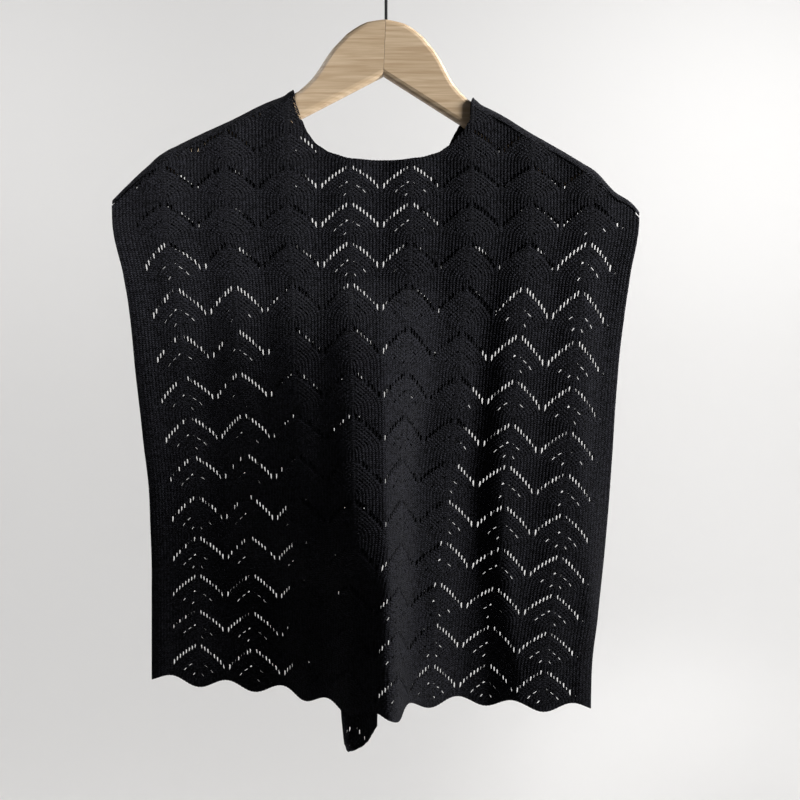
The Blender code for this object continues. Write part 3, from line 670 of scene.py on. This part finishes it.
def panel_rows(columns, outline):
    """The courses of a panel, the row of each at every strand line, and which of these places stay put.

    The rows round the shoulder's roll and the last one, along the bottom edge, are no pattern courses.
    """
    top, x_at_top, bottom = outline
    first = max(0, int((top.min() - FIRST_LINE_ROW) * COURSES) - 1)
    last = int((bottom.max() - FIRST_LINE_ROW) * COURSES) + 1
    numbers = list(range(first, last + 1))
    rows = [np.minimum(np.maximum(top, roll_row(x_at_top, angle)), bottom) for angle in ROLL_ANGLES]
    rolled = np.minimum(rows[-1], bottom)
    rows += [np.clip(course_row(course, columns), rolled, bottom) for course in numbers]
    rows = np.array(rows + [bottom])
    held = (rows <= rolled) | (rows >= bottom - ROW_TOUCH)
    held[:, [0, -1]] = True
    return [None] * len(ROLL_ANGLES) + numbers + [None], rows, held


def zigzag_step(upper_course, lower_course):
    """Which course of the zigzag this is, counted up from its valley, or 0 where there is no pattern."""
    if upper_course is None or lower_course is None:
        return 0
    return (PATTERN_SHIFT - lower_course) % COURSES + 1


def hanging_from(panel, step):
    """The strand lines of the course above that each strip's left and right sides run into."""
    left, right = panel.start, panel.start + 1
    if 1 <= step <= SIDE_EYELETS:
        last = len(panel.columns) - 1
        left, right = strand_links(panel.needle_from, len(panel.columns), step)
        left = np.clip(np.where(panel.beyond, panel.start, left), 0, last)
        right = np.clip(np.where(panel.beyond, panel.start + 1, right), 0, last)
    return left, right


def course_faces(rows, upper, corners, places):
    """Faces between two courses, whose corners run along the lower one and back along the upper one."""
    strands = rows.shape[1]
    courses = (upper + 1, upper + 1, upper, upper)
    quads = np.stack([course * strands + corner for course, corner in zip(courses, corners)], 1)
    along = np.stack([rows[course][corner] for course, corner in zip(courses, corners)], 1) * COURSES
    return quads, np.stack([np.stack(places, 1), along], -1)


def shut_gap(panel, rows, upper, shut, apex_shift):
    """The gap that a moved wale leaves is knitted shut, from the upper course down to one point."""
    cells = panel.start[shut]
    apex = (cells // STRAND_STEPS + apex_shift) * STRAND_STEPS
    cells, apex = cells[apex < len(panel.columns)], apex[apex < len(panel.columns)]
    inside = cells % STRAND_STEPS / STRAND_STEPS
    middle = np.full(len(cells), 0.5)
    places = (middle, middle, inside + 1 / STRAND_STEPS, inside)
    return course_faces(rows, upper, (apex, apex, cells + 1, cells), places)


def knitted_course(panel, rows, upper, step):
    """The faces between one course and the next, in groups, with their corners' places in the stitch."""
    up, low = rows[upper], rows[upper + 1]
    top, bottom = panel.top, panel.bottom
    left, right = hanging_from(panel, step)
    at_top = (low[:-1] <= top[:-1] + ROW_TOUCH) & (low[1:] <= top[1:] + ROW_TOUCH)
    at_bottom = (up[left] >= bottom[left] - ROW_TOUCH) & (up[right] >= bottom[right] - ROW_TOUCH)
    within = ~at_top & ~at_bottom
    keep = within & ((np.abs(low[:-1] - up[left]) > ROW_SAME) | (np.abs(low[1:] - up[right]) > ROW_SAME))
    if panel.step_column is not None:
        straddle = (panel.columns[:-1] <= panel.step_column) & (panel.columns[1:] > panel.step_column)
        keep &= ~(straddle & (low[1:] >= bottom[1:] - ROW_TOUCH))
    near_edge = (low[:-1] - top[:-1] < TOP_BORDER_ROWS) | (bottom[:-1] - up[left] < HEM_BORDER_ROWS)
    plain = near_edge | panel.in_border
    chance = uneven(panel.start // STRAND_STEPS + panel.needle_from, upper)
    keep &= ~(eyelet_cells(panel.needle, panel.local, step, chance) & ~plain & ~panel.beyond)
    place, next_place = panel.local / STRAND_STEPS, (panel.local + 1) / STRAND_STEPS
    corners = (panel.start, panel.start + 1, right, left)
    quads, spots = course_faces(rows, upper, corners, (place, next_place, next_place, place))
    groups = [(quads[keep], spots[keep])]
    if 1 <= step <= SIDE_EYELETS:
        # Only beside the valley does the gap's middle stay open
        side_cell = (panel.local == 0) | (panel.local == STRAND_STEPS - 1) | (step > 1)
        for gap_needle, apex_shift in ((step, 0), (NEEDLES - step, 1)):
            shut = (panel.needle == gap_needle) & (plain | side_cell) & ~panel.beyond & within
            groups.append(shut_gap(panel, rows, upper, shut, apex_shift))
    return groups


def knit(columns, needle_from, outline, place_of, facing, step_column=None):
    """The panel's lace as a surface: points, faces, and each face corner's place in its own stitch.

    outline holds the panel's top row, the x of that top and its bottom row, for every strand line.
    """
    top, x_at_top, bottom = outline
    panel = make_panel(columns, needle_from, top, bottom, step_column)
    courses, rows, held = panel_rows(columns, outline)
    groups = []
    for upper, pair in enumerate(zip(courses, courses[1:])):
        groups += knitted_course(panel, rows, upper, zigzag_step(*pair))
    quads, spots = [np.concatenate(parts) for parts in zip(*groups)]
    across, rows = relaxed(np.broadcast_to(columns, rows.shape), rows, quads, held)
    points = relieved_points(across, rows, place_of, facing)
    settle_roll(points, top, x_at_top, facing)
    if facing_flips(points, quads, facing):
        quads, spots = quads[:, ::-1], spots[:, ::-1]
    return points.reshape(-1, 3), quads, spots, rows


def relaxed(columns, rows, quads, held):
    """The wales ease into soft curves and the eyelets open, as in knitting that has been washed and worn."""
    shape = columns.shape
    spot = np.stack([columns.ravel() * REPEAT_WIDTH, rows.ravel() * ROW_HEIGHT], 1)
    edges = np.concatenate([quads[:, [i, (i + 1) % 4]] for i in range(4)])
    edges = edges[edges[:, 0] != edges[:, 1]]
    edges = np.unique(np.sort(edges, axis=1), axis=0)
    ends = np.concatenate([edges[:, 0], edges[:, 1]])
    others = np.concatenate([edges[:, 1], edges[:, 0]])
    count = np.bincount(ends, minlength=len(spot))
    free = (count > 0) & ~held.ravel()
    for _ in range(RELAX_ROUNDS):
        for axis in (0, 1):
            total = np.bincount(ends, spot[others, axis], len(spot))
            spot[free, axis] += RELAX_SHARE * (total[free] / count[free] - spot[free, axis])
    return (spot[:, 0] / REPEAT_WIDTH).reshape(shape), (spot[:, 1] / ROW_HEIGHT).reshape(shape)


def relieved_points(across_grid, rows, place_of, facing):
    """The strand lines in space, with each wale a rib and the peak columns standing a little proud."""
    points = place_of(across_grid, rows)
    nudge = 0.02
    across = place_of(across_grid + nudge, rows) - place_of(across_grid - nudge, rows)
    down = place_of(across_grid, rows + nudge) - points
    normal = np.cross(down, across)
    normal /= np.linalg.norm(normal, axis=-1, keepdims=True) + TINY
    if normal[..., 1].mean() * facing < 0:
        normal = -normal
    phase = np.array(STRAND_PLACES)[np.arange(rows.shape[1]) % STRAND_STEPS]
    rib = RIB_HEIGHT * (np.sin(math.pi * phase) - 0.5)
    proud = -PEAK_PROUD * np.cos(2 * math.pi * across_grid)
    return points + normal * (rib[None, :] + proud)[..., None]


def settle_roll(points, top, x_at_top, facing):
    """The rows round the shoulder's roll lie exactly on it, so that back and fronts meet at the seam."""
    on_fold = top <= row_at_drop(fold_drop(x_at_top)) + ON_FOLD
    for row, angle in enumerate(ROLL_ANGLES):
        x = points[row, on_fold, 0]
        radius = roll_radius(x)
        points[row, on_fold, 1] = facing * (SEAM_GAP / 2 + (radius - SEAM_GAP / 2) * math.sin(angle))
        points[row, on_fold, 2] = -(fold_drop(x) + radius * (1 - math.cos(angle)))


def facing_flips(points, quads, facing):
    """Whether the faces run the wrong way round for a panel that faces this way."""
    flat = points.reshape(-1, 3)
    some = quads[:: max(1, len(quads) // FACING_SAMPLES)]
    turn = np.cross(flat[some[:, 1]] - flat[some[:, 0]], flat[some[:, 3]] - flat[some[:, 0]])
    return turn[:, 1].sum() * facing < 0


def merged(points, quads, spots):
    """Points that fall together become one, and faces that this closes up go."""
    used, index = np.unique(quads, return_inverse=True)
    quads = index.reshape(quads.shape)
    spread = np.round(points[used] * GRID_STEPS_PER_MM).astype(np.int64)
    _, first, joined = np.unique(spread, axis=0, return_index=True, return_inverse=True)
    corners = joined.reshape(-1)[quads]
    fresh = corners != np.roll(corners, 1, axis=1)
    whole = (fresh.sum(1) >= 3) & (corners[:, 0] != corners[:, 2]) & (corners[:, 1] != corners[:, 3])
    return points[used][first], corners[whole], fresh[whole], spots[whole]


def point_normals(points, corners):
    first, second, third, fourth = [points[corners[:, i]] for i in range(4)]
    turn = np.cross(third - first, fourth - second)
    normals = np.zeros_like(points)
    for i in range(4):
        for axis in range(3):
            normals[:, axis] += np.bincount(corners[:, i], turn[:, axis], len(points))
    return normals / (np.linalg.norm(normals, axis=1, keepdims=True) + TINY)


def rim_edges(faces):
    """The edges with cloth on one side only, in the order that their face runs."""
    edges = {}
    for face in faces:
        for i, corner in enumerate(face):
            edges[(corner, face[(i + 1) % len(face)])] = True
    return [edge for edge in edges if (edge[1], edge[0]) not in edges]


def plain_faces(faces, spots):
    """Faces that come back to one of their own corners, or lie on another face, go."""
    seen = set()
    kept = []
    for i, face in enumerate(faces):
        corners = frozenset(face)
        if len(corners) == len(face) and corners not in seen:
            seen.add(corners)
            kept.append(i)
    return [faces[i] for i in kept], [spots[i] for i in kept]


def cloth_piece(name, node, sheet, chosen, material):
    """One piece of the knit as a closed thin shell."""
    points, normals, corners, fresh, spots = sheet
    corners, fresh, spots = corners[chosen], fresh[chosen], spots[chosen]
    faces = [face[keep].tolist() for face, keep in zip(corners, fresh)]
    near = [spot[keep].tolist() for spot, keep in zip(spots, fresh)]
    faces, near = plain_faces(faces, near)
    used = np.unique([corner for face in faces for corner in face])
    number = {int(corner): i for i, corner in enumerate(used)}
    faces = [[number[corner] for corner in face] for face in faces]
    points, normals = points[used], normals[used]
    count = len(points)
    edges = rim_edges(faces)
    all_faces = faces + [[corner + count for corner in reversed(face)] for face in faces]
    all_faces += [[b, a, a + count, b + count] for a, b in edges]
    shell = np.concatenate([points + normals * KNIT_WALL / 2, points - normals * KNIT_WALL / 2]) * MM
    mesh = bpy.data.meshes.new(name)
    mesh.from_pydata(shell, [], all_faces)
    uvs = [spot for face in near for spot in face]
    uvs += [spot for face in near for spot in reversed(face)]
    uvs += [[0.5, 0.5]] * (4 * len(edges))
    mesh.uv_layers.new(name="stitch").data.foreach_set("uv", np.array(uvs, np.float32).ravel())
    mesh.materials.append(material)
    mesh.shade_smooth()
    mesh.normals_split_custom_set_from_vertices(np.concatenate([normals, -normals]).tolist())
    piece = bpy.data.objects.new(name, mesh)
    bpy.context.scene.collection.objects.link(piece)
    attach(piece, "root")
    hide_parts(node)
    return piece


def whole_sheet(points, quads, spots, label):
    """The merged surface with its normals, and the label of each face that is left."""
    packed = np.concatenate([spots, np.broadcast_to(label[:, None, None], (len(label), 4, 1))], axis=2)
    points, corners, fresh, packed = merged(points, quads, packed)
    return (points, point_normals(points, corners), corners, fresh, packed[..., :2]), packed[:, 0, 2]


def strand_columns(first_needle, last_needle):
    """The column of each strand line, from the first needle's stitch to the last one's."""
    steps = np.arange((last_needle - first_needle + 1) * STRAND_STEPS + 1)
    within = np.array(STRAND_PLACES)[steps % STRAND_STEPS]
    return (first_needle - 0.5 + steps // STRAND_STEPS + within) / NEEDLES


def knit_back(material):
    first = math.ceil(LEFT_EDGE * NEEDLES)
    columns = strand_columns(first, math.floor(RIGHT_EDGE * NEEDLES))
    top, x = back_top(columns)
    outline = (top, x, back_bottom(columns))
    points, quads, spots, rows = knit(columns, first, outline, back_place, -1)
    middle = rows.reshape(-1)[quads].mean(1)
    sheet, middle = whole_sheet(points, quads, spots, middle)
    for name, start, end in BACK_BANDS:
        chosen = (middle >= start) & (middle < end)
        piece = cloth_piece(name, "back_panel", sheet, chosen, material)


def knit_front(name, cut, material):
    tip = cut.diagonal[-1].out
    columns = strand_columns(1, int(tip * NEEDLES))
    top, x = front_top(cut, columns)
    outline = (top, x, front_bottom(cut, columns))
    place_of = partial(front_place, cut)
    points, quads, spots, _ = knit(columns, 1, outline, place_of, 1, step_column=cut.end[-1].out)
    sheet, _ = whole_sheet(points, quads, spots, np.zeros(len(quads)))
    piece = cloth_piece(name + "_knit", name, sheet, slice(None), material)


def node_material(name):
    material = bpy.data.materials.new(name)
    material.use_nodes = True
    tree = material.node_tree
    return material, tree, tree.nodes["Principled BSDF"]


def link(tree, out_node, out_name, in_node, in_name):
    tree.links.new(out_node.outputs[out_name], in_node.inputs[in_name])


def maths(tree, operation, first, second=None):
    node = tree.nodes.new("ShaderNodeMath")
    node.operation = operation
    for slot, value in enumerate((first, second)):
        if value is None:
            continue
        if isinstance(value, (int, float)):
            node.inputs[slot].default_value = value
        else:
            tree.links.new(value, node.inputs[slot])
    return node.outputs[0]


def noise_value(tree, coords, scale, detail):
    noise = tree.nodes.new("ShaderNodeTexNoise")
    noise.inputs["Scale"].default_value = scale
    noise.inputs["Detail"].default_value = detail
    tree.links.new(coords, noise.inputs["Vector"])
    return noise.outputs[0]


def wool_material():
    """Fine dark wool: the slanted legs of each stitch as bump, mottled charcoal colour with painted shade in
    the grooves between the legs, a faint sheen.
    """
    material, tree, surface = node_material("charcoal_wool")
    coords = tree.nodes.new("ShaderNodeTexCoord").outputs["Object"]
    place = tree.nodes.new("ShaderNodeUVMap")
    place.uv_map = "stitch"
    split = tree.nodes.new("ShaderNodeSeparateXYZ")
    link(tree, place, "UV", split, "Vector")
    wander = maths(tree, "MULTIPLY", noise_value(tree, coords, 260.0, 2.0), 0.9)
    aside = maths(tree, "ABSOLUTE", maths(tree, "SUBTRACT", split.outputs["X"], 0.5))
    height_in_stitch = maths(tree, "MULTIPLY", split.outputs["Y"], 2.0)
    slanted = maths(tree, "SUBTRACT", height_in_stitch, maths(tree, "MULTIPLY", aside, 1.3))
    turned = maths(tree, "MULTIPLY", maths(tree, "ADD", slanted, wander), math.pi)
    leg = maths(tree, "ABSOLUTE", maths(tree, "SINE", turned))
    fibre = maths(tree, "MULTIPLY", noise_value(tree, coords, 700.0, 4.0), 1.6)
    bump = tree.nodes.new("ShaderNodeBump")
    bump.inputs["Strength"].default_value = 1.0
    bump.inputs["Distance"].default_value = 0.0010
    tree.links.new(maths(tree, "ADD", leg, fibre), bump.inputs["Height"])
    link(tree, bump, "Normal", surface, "Normal")
    mottle = maths(tree, "MULTIPLY", noise_value(tree, coords, 420.0, 3.0), 0.95)
    # The colour is mottled at random, and it is also lighter where each stitch leg stands high: painted
    # shade in the grooves between the legs.
    tone_and_painted_groove_shade = maths(tree, "ADD", mottle, maths(tree, "MULTIPLY", leg, 0.25))
    colour = tree.nodes.new("ShaderNodeValToRGB")
    colour.color_ramp.elements[0].position = 0.52
    colour.color_ramp.elements[0].color = (0.0012, 0.0012, 0.0022, 1)
    colour.color_ramp.elements[1].position = 0.75
    colour.color_ramp.elements[1].color = (0.0180, 0.0182, 0.0235, 1)
    tree.links.new(tone_and_painted_groove_shade, colour.inputs["Fac"])
    link(tree, colour, "Color", surface, "Base Color")
    surface.inputs["Roughness"].default_value = 0.9
    surface.inputs["Sheen Weight"].default_value = 0.03
    surface.inputs["Sheen Roughness"].default_value = 0.5
    surface.inputs["Specular IOR Level"].default_value = 0.08
    return material


def wood_material(name, side):
    """Pale beech: fine long grain that runs along each arm, with a clear satin coat."""
    material, tree, surface = node_material(name)
    coords = tree.nodes.new("ShaderNodeTexCoord")
    turn = tree.nodes.new("ShaderNodeMapping")
    turn.inputs["Rotation"].default_value = (0.0, side * math.radians(28.0), 0.0)
    turn.inputs["Scale"].default_value = (3.0, 14.0, 60.0)
    link(tree, coords, "Object", turn, "Vector")
    grain = tree.nodes.new("ShaderNodeTexNoise")
    grain.inputs["Scale"].default_value = 6.0
    grain.inputs["Detail"].default_value = 8.0
    grain.inputs["Distortion"].default_value = 0.4
    link(tree, turn, "Vector", grain, "Vector")
    colour = tree.nodes.new("ShaderNodeValToRGB")
    colour.color_ramp.elements[0].position = 0.35
    colour.color_ramp.elements[0].color = (0.47, 0.33, 0.20, 1)
    colour.color_ramp.elements[1].position = 0.68
    colour.color_ramp.elements[1].color = (0.64, 0.49, 0.33, 1)
    link(tree, grain, "Fac", colour, "Fac")
    link(tree, colour, "Color", surface, "Base Color")
    bump = tree.nodes.new("ShaderNodeBump")
    bump.inputs["Strength"].default_value = 0.15
    bump.inputs["Distance"].default_value = 0.0004
    link(tree, grain, "Fac", bump, "Height")
    link(tree, bump, "Normal", surface, "Normal")
    surface.inputs["Roughness"].default_value = 0.42
    surface.inputs["Coat Weight"].default_value = 0.25
    surface.inputs["Coat Roughness"].default_value = 0.25
    return material


def chrome_material():
    material, tree, surface = node_material("polished_chrome")
    surface.inputs["Metallic"].default_value = 1.0
    surface.inputs["Base Color"].default_value = (0.78, 0.79, 0.80, 1.0)
    noise = tree.nodes.new("ShaderNodeTexNoise")
    noise.inputs["Scale"].default_value = 220.0
    noise.inputs["Detail"].default_value = 3.0
    rough = tree.nodes.new("ShaderNodeMapRange")
    rough.inputs["To Min"].default_value = 0.05
    rough.inputs["To Max"].default_value = 0.16
    link(tree, noise, "Fac", rough, "Value")
    link(tree, rough, "Result", surface, "Roughness")
    return material


def backdrop():
    """A pale floor that curves up into a pale wall well behind the part."""
    line = [(FLOOR_FRONT, FLOOR_HEIGHT)]
    for i in range(COVE_STEPS + 1):
        angle = math.pi / 2 * i / COVE_STEPS
        y = WALL_AT - COVE_RADIUS * (1 - math.sin(angle))
        z = FLOOR_HEIGHT + COVE_RADIUS * (1 - math.cos(angle))
        line.append((y, z))
    line.append((WALL_AT, WALL_TOP))
    points = [(x, y, z) for x in (-BACKDROP_HALF_WIDTH, BACKDROP_HALF_WIDTH) for y, z in line]
    count = len(line)
    faces = [(i, count + i, count + i + 1, i + 1) for i in range(count - 1)]
    mesh = bpy.data.meshes.new("backdrop")
    mesh.from_pydata(points, [], faces)
    mesh.shade_smooth()
    material, _, surface = node_material("backdrop_paint")
    surface.inputs["Base Color"].default_value = (0.86, 0.85, 0.84, 1.0)
    surface.inputs["Roughness"].default_value = 0.9
    mesh.materials.append(material)
    cove = bpy.data.objects.new("backdrop", mesh)
    bpy.context.scene.collection.objects.link(cove)


def put_lamp(light, place, target):
    lamp = bpy.data.objects.new(light.name, light)
    lamp.location = place
    lamp.rotation_euler = (Vector(target) - Vector(place)).to_track_quat("-Z", "Y").to_euler()
    bpy.context.scene.collection.objects.link(lamp)


def area_light(name, place, target, size, power, spread=180.0):
    light = bpy.data.lights.new(name, "AREA")
    light.shape = "DISK"
    light.size = size
    light.spread = math.radians(spread)
    light.energy = power
    put_lamp(light, place, target)


def spot_light(name, place, target, degrees, power):
    light = bpy.data.lights.new(name, "SPOT")
    light.spot_size = math.radians(degrees)
    light.spot_blend = 1.0
    light.shadow_soft_size = 0.2
    light.energy = power
    put_lamp(light, place, target)


def camera_and_lights():
    data = bpy.data.cameras.new("camera")
    data.lens = 45.0
    data.sensor_width = 36.0
    data.sensor_fit = "HORIZONTAL"
    camera = bpy.data.objects.new("camera", data)
    camera.location = (0.014, -1.0, -0.46)
    camera.rotation_euler = (math.pi / 2, 0.0, 0.0)
    bpy.context.scene.collection.objects.link(camera)
    bpy.context.scene.camera = camera
    middle = (0.0, 0.0, -0.45)
    area_light("window", (2.6, -0.75, 0.25), (0.0, 0.0, 0.1), size=0.9, power=27.0, spread=62.0)
    area_light("fill", (-0.4, -2.8, 0.8), middle, size=2.2, power=0.3)
    area_light("wall_wash", (1.7, 0.6, 0.9), (0.6, 2.8, -0.7), size=1.4, power=57.0)
    area_light("wall_wash_left", (-1.8, 0.6, 1.2), (-0.4, 2.8, 0.2), size=1.6, power=30.0)
    spot_light("upper_left", (-0.85, -0.95, 0.45), (-0.31, 0.0, -0.22), degrees=17.0, power=130.0)
    world = bpy.data.worlds.new("studio")
    world.use_nodes = True
    world.node_tree.nodes["Background"].inputs["Color"].default_value = (0.95, 0.96, 1.0, 1.0)
    world.node_tree.nodes["Background"].inputs["Strength"].default_value = 0.03
    bpy.context.scene.world = world
    bpy.context.scene.view_settings.view_transform = "Standard"


def main():
    camera_and_lights()
    backdrop()
    wool = wool_material()
    knit_back(wool)
    knit_front("front_left", LEFT_FRONT, wool)
    knit_front("front_right", RIGHT_FRONT, wool)
    for side, word in ((-1, "left"), (1, "right")):
        arm = bpy.data.objects["hanger_arm_" + word]
        arm.material_slots[0].material = wood_material(word + "_beech", side)
    bpy.data.objects["hanger_hook"].material_slots[0].material = chrome_material()


main()
